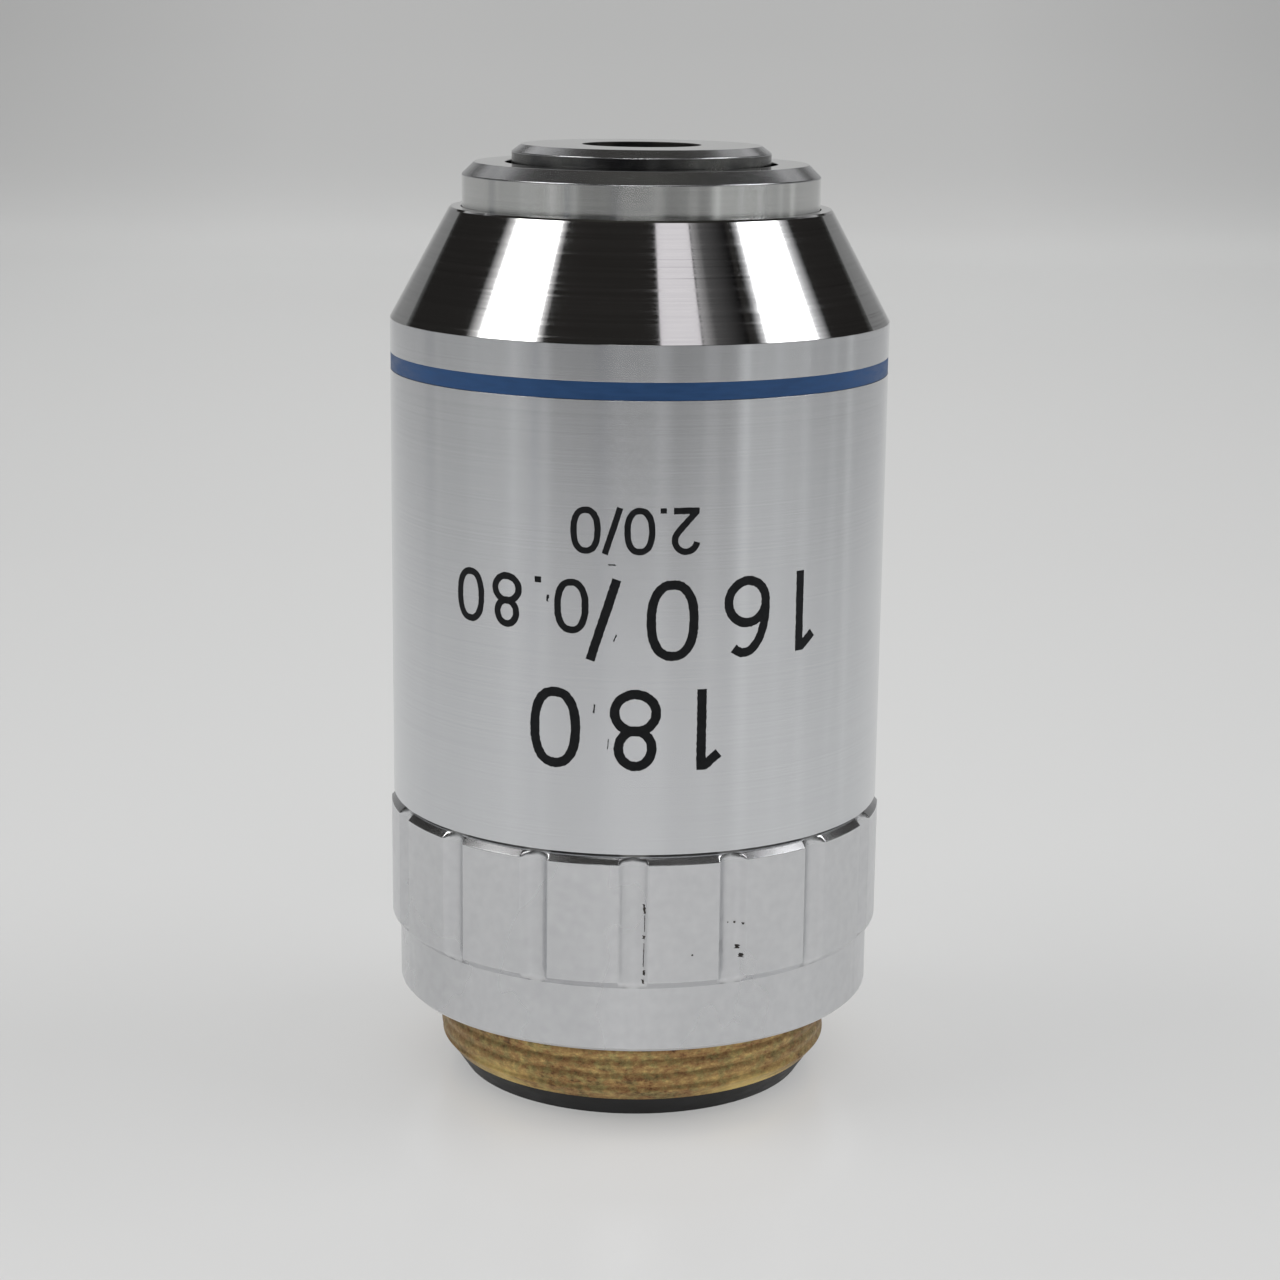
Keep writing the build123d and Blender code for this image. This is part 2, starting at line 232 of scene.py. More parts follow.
class Nodes:
    """A node tree with a few short ways to add nodes."""

    def __init__(self, tree):
        self.tree = tree

    def add(self, kind, **settings):
        node = self.tree.nodes.new(kind)
        for key, value in settings.items():
            setattr(node, key, value)
        return node

    def link(self, source, target):
        self.tree.links.new(source, target)

    def place(self, scale=(1, 1, 1), source="Object", location=(0, 0, 0)):
        """Position on the object, or another coordinate, stretched and moved."""
        coords = self.add("ShaderNodeTexCoord")
        mapping = self.add("ShaderNodeMapping")
        mapping.inputs["Location"].default_value = location
        mapping.inputs["Scale"].default_value = scale
        self.link(coords.outputs[source], mapping.inputs["Vector"])
        return mapping.outputs["Vector"]

    def split(self, vector):
        """The X, Y and Z outputs of a vector, by name."""
        node = self.add("ShaderNodeSeparateXYZ")
        self.link(vector, node.inputs["Vector"])
        return node.outputs

    def noise(self, scale=(1, 1, 1), detail=2.0, rough=0.5, source="Object"):
        node = self.add("ShaderNodeTexNoise")
        node.inputs["Scale"].default_value = 1.0
        node.inputs["Detail"].default_value = detail
        node.inputs["Roughness"].default_value = rough
        self.link(self.place(scale, source), node.inputs["Vector"])
        return node.outputs["Fac"]

    def ramp(self, value, *stops):
        """Colours, or grey values, at places along a value."""
        node = self.add("ShaderNodeValToRGB")
        while len(node.color_ramp.elements) < len(stops):
            node.color_ramp.elements.new(0.5)
        for element, (position, colour) in zip(node.color_ramp.elements, stops):
            element.position = position
            if not isinstance(colour, tuple):
                colour = (colour, colour, colour)
            element.color = (*colour, 1)
        self.link(value, node.inputs["Fac"])
        return node.outputs["Color"]

    def math(self, operation, a, b):
        node = self.add("ShaderNodeMath", operation=operation)
        for socket, value in zip(node.inputs, (a, b)):
            if isinstance(value, (int, float)):
                socket.default_value = value
            else:
                self.link(value, socket)
        return node.outputs["Value"]

    def mix(self, factor, a, b, blend_type="MIX"):
        """Colours mixed by a value."""
        node = self.add("ShaderNodeMixRGB", blend_type=blend_type)
        if isinstance(factor, float):
            node.inputs["Fac"].default_value = factor
        else:
            self.link(factor, node.inputs["Fac"])
        for socket, value in ((node.inputs["Color1"], a), (node.inputs["Color2"], b)):
            if isinstance(value, tuple):
                socket.default_value = (*value, 1)
            else:
                self.link(value, socket)
        return node.outputs["Color"]


class Shader(Nodes):
    """A node material with a Principled surface."""

    def __init__(self, name):
        self.material = bpy.data.materials.new(name)
        self.material.use_nodes = True
        super().__init__(self.material.node_tree)
        self.surface = self.tree.nodes["Principled BSDF"]

    def set(self, **values):
        for key, value in values.items():
            self.surface.inputs[key.replace("_", " ")].default_value = value

    def bump(self, height, depth, strength=1.0):
        node = self.add("ShaderNodeBump")
        node.inputs["Strength"].default_value = strength
        node.inputs["Distance"].default_value = depth * MM
        self.link(height, node.inputs["Height"])
        self.link(node.outputs["Normal"], self.surface.inputs["Normal"])

    def to(self, source, socket):
        self.link(source, self.surface.inputs[socket])

    def turned(self, amount):
        """Highlights drawn out along the axis, as on a turned surface."""
        tangent = self.add("ShaderNodeTangent", direction_type="RADIAL", axis="Z")
        self.link(tangent.outputs["Tangent"], self.surface.inputs["Tangent"])
        self.set(Anisotropic=amount, Anisotropic_Rotation=0.25)


def satin_chrome(name, dark, light):
    """Turned and plated: fine lines round the axis that draw reflections out along it."""
    s = Shader(name)
    s.set(Metallic=1.0)
    lines = s.noise((12, 12, 11000), detail=3.0, rough=0.65)
    cloud = s.noise((70, 70, 45), detail=3.0)
    tone = s.math("ADD", s.math("MULTIPLY", lines, 0.65), s.math("MULTIPLY", cloud, 0.35))
    s.to(s.ramp(tone, (0.3, dark), (0.7, light)), "Base Color")
    s.to(s.ramp(tone, (0.3, 0.19), (0.7, 0.215)), "Roughness")
    s.turned(0.985)
    s.bump(lines, 0.0022, 0.6)
    return s.material


def frosted_chrome(name, smooth, dull):
    """Plating with a fine even grain, as on the grip ring."""
    s = Shader(name)
    s.set(Metallic=1.0)
    grain = s.noise((1900, 1900, 1900), detail=1.0)
    cloud = s.noise((140, 140, 90), detail=3.0)
    tone = s.math("ADD", s.math("MULTIPLY", grain, 0.4), s.math("MULTIPLY", cloud, 0.6))
    s.to(s.ramp(tone, (0.3, (0.635, 0.64, 0.655)), (0.7, (0.73, 0.735, 0.747))), "Base Color")
    s.to(s.ramp(cloud, (0.3, smooth), (0.7, dull)), "Roughness")
    s.bump(grain, 0.0010, 0.5)
    return s.material


def polished_chrome():
    s = Shader("polished_chrome")
    s.set(Metallic=1.0)
    lines = s.noise((60, 60, 9000), detail=4.0, rough=0.7)
    cloud = s.noise((160, 160, 160), detail=4.0)
    tone = s.math("ADD", s.math("MULTIPLY", lines, 0.7), s.math("MULTIPLY", cloud, 0.3))
    s.to(
        s.ramp(tone, (0.34, (0.42, 0.42, 0.425)), (0.42, (0.61, 0.61, 0.615)), (0.7, (0.70, 0.70, 0.70))),
        "Base Color",
    )
    s.to(s.ramp(lines, (0.40, 0.05), (0.56, 0.08), (0.70, 0.12)), "Roughness")
    s.bump(lines, 0.0006, 0.5)
    return s.material


def smoked_chrome_and_shade():
    """Plating gone dull and dark, as on the wall of the tip; on the chamfer at the sleeve's foot it is painted
    shade, standing for the shadowed gap above the grip ring.
    """
    s = Shader("smoked_chrome_and_shade")
    s.set(Metallic=1.0)
    cloud = s.noise((420, 420, 700), detail=4.0, rough=0.65)
    s.to(s.ramp(cloud, (0.32, (0.10, 0.10, 0.105)), (0.68, (0.25, 0.25, 0.24))), "Base Color")
    s.to(s.ramp(cloud, (0.3, 0.14), (0.7, 0.30)), "Roughness")
    s.bump(cloud, 0.004, 0.5)
    return s.material


def blue_enamel():
    s = Shader("blue_enamel")
    grain = s.noise((900, 900, 5000), detail=3.0)
    cloud = s.noise((120, 120, 300), detail=2.0)
    tone = s.math("MULTIPLY", s.math("ADD", grain, cloud), 0.5)
    s.to(s.ramp(tone, (0.3, (0.009, 0.054, 0.164)), (0.7, (0.017, 0.084, 0.242))), "Base Color")
    s.set(Specular_IOR_Level=0.5)
    s.to(s.ramp(grain, (0.3, 0.34), (0.7, 0.5)), "Roughness")
    s.bump(grain, 0.01, 0.4)
    return s.material


def thread_brass():
    """Tarnished brown and green, with painted shade darkening it towards the sides, and a painted gold highlight low
    down at left and right.
    """
    s = Shader("thread_brass")
    s.set(Metallic=0.85)
    cloud = s.noise((260, 260, 900), detail=5.0, rough=0.65)
    specks = s.noise((2600, 2600, 4200), detail=4.0, rough=0.75)
    patina = s.noise((1500, 1500, 2100), detail=3.0, rough=0.7)
    tone = s.math("ADD", s.math("MULTIPLY", cloud, 0.42), s.math("MULTIPLY", specks, 0.58))
    worn = s.ramp(
        tone,
        (0.36, (0.16, 0.075, 0.045)),
        (0.45, (0.40, 0.225, 0.10)),
        (0.55, (0.54, 0.36, 0.15)),
        (0.66, (0.84, 0.62, 0.25)),
    )
    green = s.ramp(tone, (0.36, (0.14, 0.11, 0.06)), (0.62, (0.56, 0.47, 0.19)))
    metal = s.mix(s.ramp(patina, (0.47, 0.0), (0.60, 0.8)), worn, green)
    at = s.split(s.place((100, 100, 250)))
    aside = s.math("ABSOLUTE", at["X"], 0.0)
    # Painted shade: a dark brown mixed in towards the left and right sides.
    metal = s.mix(s.ramp(aside, (0.55, 0.0), (0.95, 0.42)), metal, (0.20, 0.125, 0.06))
    # Painted highlight: bright gold low down at left and right, broken up by the cloud.
    low = s.ramp(s.math("ADD", at["Z"], 1.0), (0.15, 1.0), (0.42, 0.0))
    beside = s.ramp(aside, (0.28, 0.0), (0.50, 1.0), (0.72, 1.0), (0.85, 0.1))
    painted_glint = s.math("MULTIPLY", low, beside)
    painted_glint = s.math("MULTIPLY", painted_glint, s.ramp(cloud, (0.36, 0.25), (0.56, 0.9)))
    s.to(s.mix(painted_glint, metal, (0.95, 0.72, 0.26)), "Base Color")
    s.to(s.ramp(tone, (0.35, 0.62), (0.68, 0.36)), "Roughness")
    s.bump(specks, 0.02, 0.5)
    return s.material


def plain_brass():
    s = Shader("plain_brass")
    s.set(Metallic=1.0)
    lines = s.noise((200, 200, 6000), detail=3.0)
    s.to(s.ramp(lines, (0.3, (0.55, 0.40, 0.16)), (0.7, (0.72, 0.54, 0.24))), "Base Color")
    s.to(s.ramp(lines, (0.3, 0.25), (0.7, 0.4)), "Roughness")
    s.bump(lines, 0.004, 0.5)
    return s.material


def blackened(name, low, high, metallic):
    s = Shader(name)
    s.set(Metallic=metallic)
    grain = s.noise((900, 900, 2500), detail=4.0, rough=0.6)
    s.to(s.ramp(grain, (0.3, low), (0.72, high)), "Base Color")
    s.to(s.ramp(grain, (0.3, 0.42), (0.7, 0.62)), "Roughness")
    s.bump(grain, 0.01, 0.5)
    return s.material


def spring_steel():
    s = Shader("spring_steel")
    s.set(Metallic=1.0)
    cloud = s.noise((700, 700, 700), detail=3.0)
    s.to(s.ramp(cloud, (0.3, (0.36, 0.35, 0.34)), (0.7, (0.52, 0.51, 0.50))), "Base Color")
    s.to(s.ramp(cloud, (0.3, 0.22), (0.7, 0.38)), "Roughness")
    return s.material


def lens_glass():
    s = Shader("lens_glass")
    s.set(Transmission_Weight=1.0, IOR=1.58, Base_Color=(0.97, 0.985, 0.98, 1))
    s.set(Thin_Film_Thickness=125.0, Thin_Film_IOR=1.38)
    haze = s.noise((600, 600, 600), detail=3.0)
    s.to(s.ramp(haze, (0.35, 0.0), (0.75, 0.03)), "Roughness")
    return s.material


def engraving_paint():
    s = Shader("engraving_paint")
    grain = s.noise((2500, 2500, 2500), detail=4.0, rough=0.7)
    s.to(s.ramp(grain, (0.3, (0.004, 0.005, 0.006)), (0.75, (0.018, 0.019, 0.021))), "Base Color")
    s.to(s.ramp(grain, (0.3, 0.5), (0.7, 0.75)), "Roughness")
    s.set(Specular_IOR_Level=0.2)
    s.bump(grain, 0.02, 0.5)
    return s.material


def grime():
    s = Shader("grime")
    grain = s.noise((3000, 3000, 3000), detail=3.0)
    s.to(s.ramp(grain, (0.3, (0.012, 0.012, 0.013)), (0.7, (0.07, 0.055, 0.045))), "Base Color")
    s.to(s.ramp(grain, (0.3, 0.5), (0.7, 0.8)), "Roughness")
    return s.material


def floor_paint():
    """Pale card with a slight sheen. Painted light makes it palest round the object, over the object's shadow, and
    paler towards the camera; painted shade makes it darker far back and aside.

    Much of its paleness is its own, for the camera and for reflections, so shadows on it stay faint.
    """
    s = Shader("floor_paint")
    cloud = s.noise((5, 5, 5), detail=2.0)
    at = s.split(s.place())
    reach = s.add("ShaderNodeVectorMath", operation="LENGTH")
    s.link(s.place(), reach.inputs[0])
    near = s.ramp(cloud, (0.3, (0.366, 0.368, 0.366)), (0.7, (0.377, 0.377, 0.375)))
    far = s.ramp(cloud, (0.3, (0.286, 0.288, 0.286)), (0.7, (0.295, 0.295, 0.293)))
    # Painted shade: darker towards the back of the floor, lighter again up the wall.
    depth = s.ramp(
        at["Y"],
        (0.02, 0.0), (0.14, 0.40), (0.31, 0.75), (0.47, 1.0),
        (0.57, 0.93), (0.66, 0.60), (0.74, 0.30), (0.80, 0.38),
    )
    card = s.mix(depth, near, far)
    # Painted light: paler towards the camera, where the lower metal reflects the floor.
    painted_light_ahead = s.ramp(s.math("ADD", at["Y"], 0.2), (0.08, 1.0), (0.17, 0.0))
    card = s.mix(painted_light_ahead, card, (0.48, 0.48, 0.48))
    # Painted shade: darker out to the left and right.
    aside = s.ramp(s.math("ABSOLUTE", at["X"], 0.0), (0.10, 0.0), (0.34, 1.0))
    card = s.mix(aside, card, (0.212, 0.213, 0.212))
    # Painted light: palest round the object, lightening its shadow on the floor.
    painted_fill_round_object = s.ramp(reach.outputs["Value"], (0.010, 1.0), (0.020, 0.30), (0.032, 0.05), (0.06, 0.0))
    s.to(s.mix(painted_fill_round_object, card, (0.46, 0.46, 0.457)), "Base Color")
    path = s.add("ShaderNodeLightPath")
    seen = s.math("MAXIMUM", path.outputs["Is Camera Ray"], path.outputs["Is Glossy Ray"])
    seen = s.math("MAXIMUM", seen, path.outputs["Is Transmission Ray"])
    s.to(card, "Emission Color")
    s.to(s.math("MULTIPLY", seen, 0.77), "Emission Strength")
    s.to(s.ramp(cloud, (0.3, 0.20), (0.7, 0.26)), "Roughness")
    s.set(Specular_IOR_Level=0.3)
    return s.material


SATIN = satin_chrome("satin_chrome", (0.69, 0.70, 0.72), (0.79, 0.80, 0.818))
NOSE_CHROME = satin_chrome("nose_chrome", (0.77, 0.775, 0.765), (0.88, 0.885, 0.87))
FROSTED = frosted_chrome("frosted_chrome", 0.24, 0.33)
EDGE_CHROME = frosted_chrome("edge_chrome", 0.20, 0.28)
POLISHED = polished_chrome()
SMOKED_AND_SHADE = smoked_chrome_and_shade()
BLUE = blue_enamel()
BRASS = thread_brass()
PLAIN_BRASS = plain_brass()
BLACK_BRASS = blackened("blackened_brass", (0.010, 0.010, 0.011), (0.05, 0.045, 0.04), 0.7)
BLACK_METAL = blackened("black_metal", (0.006, 0.006, 0.007), (0.022, 0.021, 0.021), 0.3)
STEEL = spring_steel()
GLASS = lens_glass()
PAINT = engraving_paint()
GRIME_AND_SHADE = grime()

SLOT_MATERIAL = {
    "satin_chrome": SATIN,
    "polished_chrome": POLISHED,
    "thread_brass": BRASS,
    "plain_brass": PLAIN_BRASS,
    "blackened_brass": BLACK_BRASS,
    "black_metal": BLACK_METAL,
    "blue_enamel": BLUE,
    "spring_steel": STEEL,
    "lens_glass": GLASS,
}
for node in nodes.values():
    for holder in node.material_slots:
        holder.material = SLOT_MATERIAL[holder.material.name.split(".")[0]]


def fit(piece, body, node):
    """Rides a piece on a body, in a CAD node's place if one is named."""
    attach(piece, body)
    if node:
        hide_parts(node)


# Outer sleeve: satin up to the cone, polished on the cone, and painted shade on the chamfer at its foot
sleeve = lathe(
    "sleeve_visual",
    [
        (SLEEVE_BORE, RING_TOP, 0.03, 0),
        # Painted shade: the dark plating on the foot chamfer draws the shadowed gap above the grip ring
        (BODY_R - BODY_FOOT[0], RING_TOP, 0.03, 2),
        (BODY_R, RING_TOP + BODY_FOOT[1], 0.06, 0),
        (BODY_R, BAND_BOTTOM, 0.015, 0),
        (BAND_FLOOR, BAND_BOTTOM, 0.01, 0),
        (BAND_FLOOR, BAND_TOP, 0.01, 0),
        (BODY_R, BAND_TOP, 0.015, 0),
        (BODY_R, CONE_BASE, 0.05, 1),
        (CONE_TOP_R, CONE_TOP - CONE_EDGE, 0.06, 1),
        (CONE_TOP_R - CONE_EDGE, CONE_TOP, 0.05, 1),
        (NOSE_BORE, CONE_TOP, 0.03, 1),
        (NOSE_BORE, SLEEVE_STOP, 0.02, 0),
        (CHAMBER_BORE, SLEEVE_STOP, 0.05, 0),
        (CHAMBER_BORE, CHAMBER_BOTTOM, 0.02, 0),
        (SLEEVE_BORE, CHAMBER_BOTTOM, 0.02, 0),
    ],
    even(256),
    [SATIN, POLISHED, SMOKED_AND_SHADE],
)
fit(sleeve, "housing", "outer_sleeve")

band = lathe(
    "band_visual",
    [
        (BAND_FLOOR, BAND_BOTTOM, 0.01, 0),
        (BODY_R - 0.015, BAND_BOTTOM, 0.04, 0),
        (BODY_R - 0.015, BAND_TOP, 0.04, 0),
        (BAND_FLOOR, BAND_TOP, 0.01, 0),
    ],
    even(256),
    [BLUE],
)
fit(band, "housing", "color_band")


# Grip ring: the flutes are cut by the surface function
def flute_wall(angle):
    """Radius of the flute wall at an angle, or far out between the flutes."""
    pitch = 2 * math.pi / FLUTES
    off = (angle + math.pi / 2 + pitch / 2) % pitch - pitch / 2
    reach = FLUTE_R**2 - (FLUTE_CENTRE * np.sin(off)) ** 2
    wall = FLUTE_CENTRE * np.cos(off) - np.sqrt(np.maximum(reach, 0))
    return np.where(reach > 0, wall, FLUTE_CENTRE + 10 * (np.abs(off) - 0.06))


def fluted(angle, r, z):
    plain = r + 0 * angle
    cut = soft_min(plain, flute_wall(angle) + 0 * r, FLUTE_BLEND)
    return np.where(r > RING_BORE + 0.3, cut, plain)


def flute_angles():
    """Angles set close together over each flute and its edges, and wide apart between flutes."""
    pitch = 2 * math.pi / FLUTES
    hollow, edge, land = np.linspace(0, 0.048, 10), np.linspace(0.0505, 0.0625, 12), np.linspace(0.072, 0.18, 7)
    half = np.concatenate([hollow, edge, land])
    one = np.concatenate([-half[:0:-1], half])
    return np.concatenate([one + k * pitch - math.pi / 2 for k in range(FLUTES)])


ring = lathe(
    "grip_ring_visual",
    [
        (RING_LIP_BORE, 0, 0.03, 0),
        (RIM_R - RIM_CHAMFER, 0, 0.06, 0),
        (RIM_R, RIM_CHAMFER, 0.10, 0),
        (RIM_R, RIM_TOP, 0.05, 0),
        (LAND_R, RIM_TOP + LAND_R - RIM_R, 0.08, 0),
        (LAND_R, RING_TOP - LAND_CHAMFER, 0.06, 1),
        (LAND_R - LAND_CHAMFER, RING_TOP, 0.03, 0),
        (RING_BORE, RING_TOP, 0.03, 0),
        (RING_BORE, RING_LIP, 0.03, 0),
        (RING_LIP_BORE, RING_LIP, 0.03, 0),
    ],
    flute_angles(),
    [FROSTED, EDGE_CHROME],
    fluted,
    0.9,
)
fit(ring, "housing", "grip_ring")


# Mount tube: a true right-hand thread below the shoulder, the CAD tube above it
def threaded(angle, r, z):
    turn = (z / THREAD_PITCH - angle / (2 * math.pi)) % 1.0
    flank = np.abs(turn - 0.5) * 2
    tooth = THREAD_R - THREAD_DEPTH * (1 - np.clip((flank - 0.12) / 0.76, 0, 1))
    run_out = np.clip((z - THREAD_RUN_OUT) / THREAD_RUN_OUT_LENGTH, 0, 1)
    tooth = tooth * (1 - run_out) + (THREAD_R - THREAD_DEPTH) * run_out
    plain = r + 0 * angle
    return np.where(r > REAR_BORE + 0.6, soft_min(plain, tooth + 0 * r, THREAD_BLEND), plain)


thread = lathe(
    "mount_tube_visual",
    [
        (REAR_BORE, THREAD_END, 0.05, 0),
        (THREAD_R - THREAD_FOOT[0], THREAD_END, 0.05, 0),
        (THREAD_R, THREAD_END + THREAD_FOOT[1], 0.15, 0),
        (THREAD_R, 0, 0.01, 0),
        (REAR_BORE, 0, 0.01, 0),
    ],
    even(320),
    [BRASS],
    threaded,
    0.045,
)
tube = rest_of_node("mount_tube", 0.0, True, "tube_rest", BRASS)
with bpy.context.temp_override(active_object=thread, selected_editable_objects=[thread, tube]):
    bpy.ops.object.join()
fit(thread, "housing", "mount_tube")

# Lens barrel: the bright ring at its front is turned here, the CAD barrel carries on behind the flange
nose = lathe(
    "lens_barrel_visual",
    [
        (CELL_BORE, FLANGE_MIDDLE, 0.02, 0),
        (FLANGE_R, FLANGE_MIDDLE, 0.02, 0),
        (FLANGE_R, FLANGE_TOP, 0.05, 0),
        (NOSE_R, FLANGE_TOP, 0.05, 2),
        (NOSE_R, NOSE_TOP - NOSE_BEVEL[1], 0.11, 1),
        (NOSE_R - NOSE_BEVEL[0], NOSE_TOP, 0.05, 0),
        (TIP_HOLE, NOSE_TOP, 0.05, 0),
        (TIP_HOLE, FRONT_SEAT, 0.03, 0),
        (CELL_BORE, FRONT_SEAT, 0.03, 0),
    ],
    even(256),
    [POLISHED, EDGE_CHROME, NOSE_CHROME],
)
barrel = rest_of_node("lens_barrel", FLANGE_MIDDLE, False, "barrel_rest", POLISHED)
with bpy.context.temp_override(active_object=nose, selected_editable_objects=[nose, barrel]):
    bpy.ops.object.join()
fit(nose, "nose", "lens_barrel")

tip = lathe(
    "front_cell_visual",
    [
        (FRONT_LENS_BORE, FRONT_CELL_BOTTOM, 0.03, 1),
        (CELL_R, FRONT_CELL_BOTTOM, 0.03, 1),
        (CELL_R, FRONT_SEAT, 0.03, 0),
        (TIP_R, FRONT_SEAT, 0.03, 2),
        (TIP_R, TIP_TOP - TIP_BEVEL[1], 0.09, 3),
        (TIP_R - TIP_BEVEL[0], TIP_TOP, 0.05, 0),
        (TIP_BORE, TIP_TOP, 0.06, 1),
        (TIP_BORE, FRONT_GLASS, 0.02, 1),
        (FRONT_LENS_BORE, FRONT_GLASS, 0.02, 1),
    ],
    even(256),
    [POLISHED, BLACK_BRASS, SMOKED_AND_SHADE, EDGE_CHROME],
)
fit(tip, "nose", "front_cell")


# Return spring: flat wire with ends ground flat, built at full length; the real one shortens as the nose goes in
def make_spring():
    steps = 96 * SPRING_TURNS
    half_width, half_height = SPRING_WIRE[0] / 2, SPRING_WIRE[1] / 2
    section = []
    for x, z in ((1, -1), (1, 1), (-1, 1), (-1, -1)):
        beside = (x * half_width, z * (half_height - SPRING_EDGE))
        above = (x * (half_width - SPRING_EDGE), z * half_height)
        section.extend((above, beside) if x * z > 0 else (beside, above))
    verts, faces = [], []
    for k in range(steps + 1):
        angle = 2 * math.pi * SPRING_TURNS * k / steps
        for x, z in section:
            r = SPRING_R + x
            height = min(max(TUBE_TOP + SPRING_LENGTH * k / steps + z, TUBE_TOP), FLANGE_BOTTOM)
            verts.append((r * math.cos(angle) * MM, r * math.sin(angle) * MM, height * MM))
    size = len(section)
    for k in range(steps):
        for j in range(size):
            a, b = k * size + j, k * size + (j + 1) % size
            faces.append((b, a, a + size, b + size))
    faces.append(tuple(range(size)))
    faces.append(tuple(steps * size + j for j in reversed(range(size))))
    mesh = bpy.data.meshes.new("return_spring_visual")
    mesh.from_pydata(verts, [], faces)
    mesh.polygons.foreach_set("use_smooth", np.ones(len(faces), dtype=bool))
    mesh.set_sharp_from_angle(angle=math.radians(50))
    mesh.materials.append(STEEL)
    return add_object("return_spring_visual", mesh)


spring = make_spring()
fit(spring, "housing", "return_spring")
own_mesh(spring)


# Engraving: generic numerals in black paint, upside down on the front of the sleeve


def ellipse(cx, cy, rx, ry, start=0.0, stop=360.0, power=2.0):
    count = max(8, int(abs(stop - start) / 10))
    points = []
    for k in range(count + 1):
        a = math.radians(start + (stop - start) * k / count)
        c, s = math.cos(a), math.sin(a)
        points.append((
            cx + rx * math.copysign(abs(c) ** (2 / power), c),
            cy + ry * math.copysign(abs(s) ** (2 / power), s),
        ))
    return points


GLYPHS = {
    "0": (0.64, [ellipse(0.32, 0.5, 0.26, 0.44, power=2.35)]),
    "1": (0.42, [[(0.06, 0.80), (0.25, 0.955)], [(0.28, 1.0), (0.28, 0.0)]]),
    "2": (0.62, [ellipse(0.31, 0.69, 0.24, 0.25, 170, -38) + [(0.08, 0.06)], [(0.03, 0.06), (0.58, 0.06)]]),
    "6": (0.64, [ellipse(0.32, 0.31, 0.25, 0.26), ellipse(0.36, 0.40, 0.29, 0.54, 62, 190)]),
    "8": (0.64, [ellipse(0.32, 0.72, 0.20, 0.22), ellipse(0.32, 0.28, 0.25, 0.23)]),
    "/": (0.42, [[(0.05, 0.0), (0.37, 1.0)]]),
    ".": (0.26, [[(0.13, 0.0), (0.13, 0.11)]]),
}

chance = random.Random(11)
PAINT_ROOT, PAINT_THICK = 0.03, 0.042
GRIME_AND_SHADE_ROOT, GRIME_AND_SHADE_THICK = 0.01, 0.022


def walk(points, step):
    """Points at even steps along a line of points."""
    points = [Vector(p) for p in points]
    out = [points[0]]
    for a, b in zip(points, points[1:]):
        parts = max(1, int(round((b - a).length / step)))
        out.extend(a.lerp(b, k / parts) for k in range(1, parts + 1))
    return out


def ribbon(verts, faces, points, width, place, ragged):
    """Adds a raised ribbon with ragged edges along points on a surface; place(u, v, lift) gives a position there."""
    closed = (points[0] - points[-1]).length < 1e-6
    if closed:
        points = points[:-1]
    count = len(points)
    base = len(verts)
    for k, point in enumerate(points):
        before = points[k - 1] if closed or k else point
        after = points[(k + 1) % count] if closed or k < count - 1 else point
        along = (after - before).normalized()
        across = Vector((-along.y, along.x))
        edges = {side: point + across * side * (width / 2 + chance.uniform(-ragged, ragged)) for side in (1, -1)}
        for side, lift in ((1, 0.0), (1, 1.0), (-1, 1.0), (-1, 0.0)):
            verts.append(place(edges[side].x, edges[side].y, lift))
    spans = count if closed else count - 1
    for k in range(spans):
        a, b = base + 4 * k, base + 4 * ((k + 1) % count)
        for j in range(3):
            faces.append((a + j, a + j + 1, b + j + 1, b + j))
    if not closed:
        last = base + 4 * (count - 1)
        faces.append((base + 3, base + 2, base + 1, base))
        faces.append((last, last + 1, last + 2, last + 3))


def on_sleeve(u, v, lift):
    """A point of the sleeve: u millimetres round from the front, v up from the shoulder."""
    r = BODY_R - PAINT_ROOT + PAINT_THICK * lift
    angle = u / BODY_R - math.pi / 2
    return (r * math.cos(angle) * MM, r * math.sin(angle) * MM, v * MM)


def flat_piece(name, verts, faces, material):
    mesh = bpy.data.meshes.new(name)
    mesh.from_pydata(verts, [], faces)
    mesh.materials.append(material)
    return add_object(name, mesh)


def write(verts, faces, text, start_deg, stop_deg, baseline, height, stroke):
    """One row of numerals read upside down, from its right end round to its left end."""
    start = math.radians(start_deg) * BODY_R
    stop = math.radians(stop_deg) * BODY_R
    natural = sum(GLYPHS[c][0] for c in text) * height
    gap = (start - stop - natural) / max(1, len(text) - 1)
    cursor = 0.0
    for character in text:
        width, strokes = GLYPHS[character]
        for stroke_points in strokes:
            placed = [(start - cursor - x * height, baseline - y * height) for x, y in stroke_points]
            ribbon(verts, faces, walk(placed, 0.09), stroke, on_sleeve, stroke * 0.035)
        cursor += width * height + gap


verts, faces = [], []
write(verts, faces, "180", 19.6, -23.6, 18.25, 3.95, 0.46)
write(verts, faces, "160/", 43.5, -10.9, 23.55, 3.9, 0.44)
write(verts, faces, "0.80", -10.4, -43.2, 23.5, 2.6, 0.33)
write(verts, faces, "2.0/0", 13.6, -14.4, 26.95, 2.2, 0.30)
engraving = flat_piece("engraving", verts, faces, PAINT)
fit(engraving, "housing", None)

